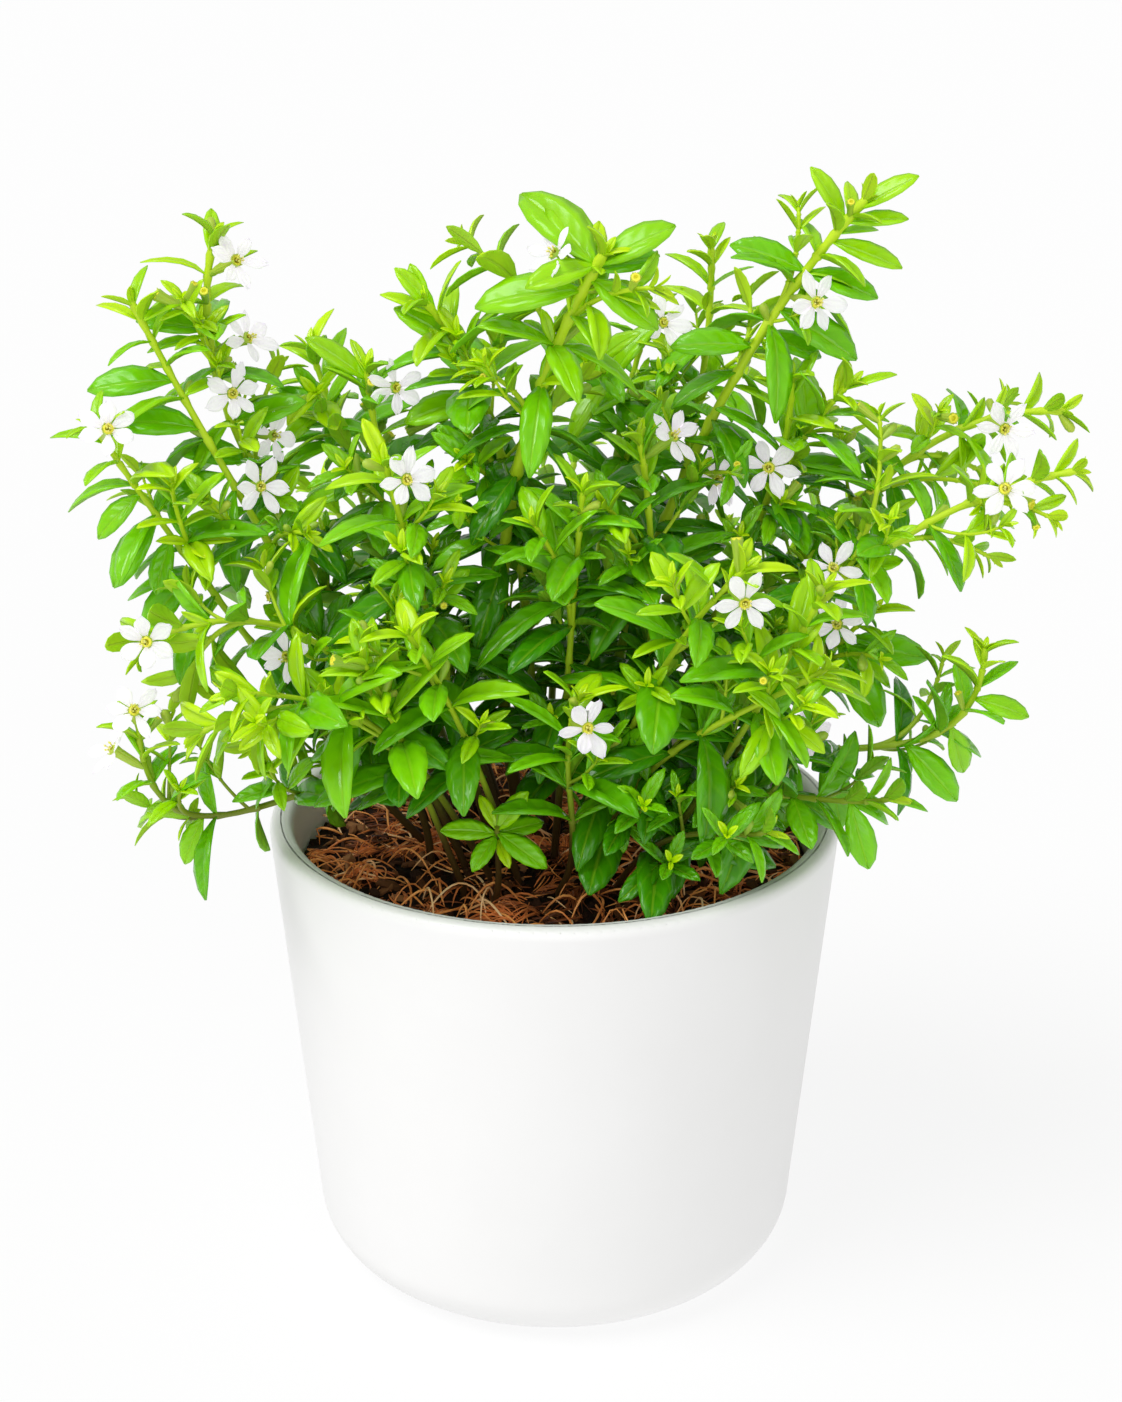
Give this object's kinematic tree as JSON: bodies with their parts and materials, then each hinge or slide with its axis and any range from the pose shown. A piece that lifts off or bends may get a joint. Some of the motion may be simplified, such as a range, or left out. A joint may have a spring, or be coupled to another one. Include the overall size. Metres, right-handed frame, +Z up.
{
  "type": "potted false hyssop",
  "caption": "Bushy herb with small paired leaves and six-petalled white flowers, growing in the soil of a smooth white conical pot.",
  "frame": {"origin": "centre of the pot's flat base", "axes": "+Z up along the pot's axis, -Y towards the front, +X to the right of the front"},
  "size_m": [0.2213, 0.1479, 0.2563],
  "materials": {
    "pot": "smooth satin white",
    "soil": "damp dark potting soil with coir fibres",
    "greenery": "fresh green stems and glossy leaves",
    "flower": "thin white petals with a faint lilac tint"
  },
  "bodies": {
    "root": {"flower_01": "flower", "flower_02": "flower", "flower_03": "flower", "flower_04": "flower", "flower_05": "flower", "flower_06": "flower", "flower_07": "flower", "flower_08": "flower", "flower_09": "flower", "flower_10": "flower", "flower_11": "flower", "flower_12": "flower", "flower_13": "flower", "flower_14": "flower", "flower_15": "flower", "flower_16": "flower", "flower_17": "flower", "flower_18": "flower", "flower_19": "flower", "flower_20": "flower", "flower_21": "flower", "flower_22": "flower", "flower_23": "flower", "flower_24": "flower", "flower_25": "flower", "pot": "pot", "soil": "soil", "sprig_back_left": "greenery", "sprig_back_middle": "greenery", "sprig_back_right": "greenery", "sprig_center_back": "greenery", "sprig_center_left": "greenery", "sprig_center_main": "greenery", "sprig_front_far_right": "greenery", "sprig_front_flowering": "greenery", "sprig_front_left": "greenery", "sprig_front_middle": "greenery", "sprig_front_right": "greenery", "sprig_front_seedling": "greenery", "sprig_inner": "greenery", "sprig_left_level": "greenery", "sprig_left_long": "greenery", "sprig_left_low": "greenery", "sprig_left_outer": "greenery", "sprig_left_skirt": "greenery", "sprig_left_tall": "greenery", "sprig_mid_left": "greenery", "sprig_right_bushy": "greenery", "sprig_right_front": "greenery", "sprig_right_high": "greenery", "sprig_right_level": "greenery", "sprig_right_long": "greenery", "sprig_right_low": "greenery", "sprig_right_mid": "greenery", "sprig_right_skirt": "greenery", "sprig_right_sweep": "greenery", "sprig_upper_left": "greenery", "sprig_upper_left_back": "greenery", "sprig_vertical_right": "greenery", "sprig_young": "greenery"}
  },
  "joints": []
}
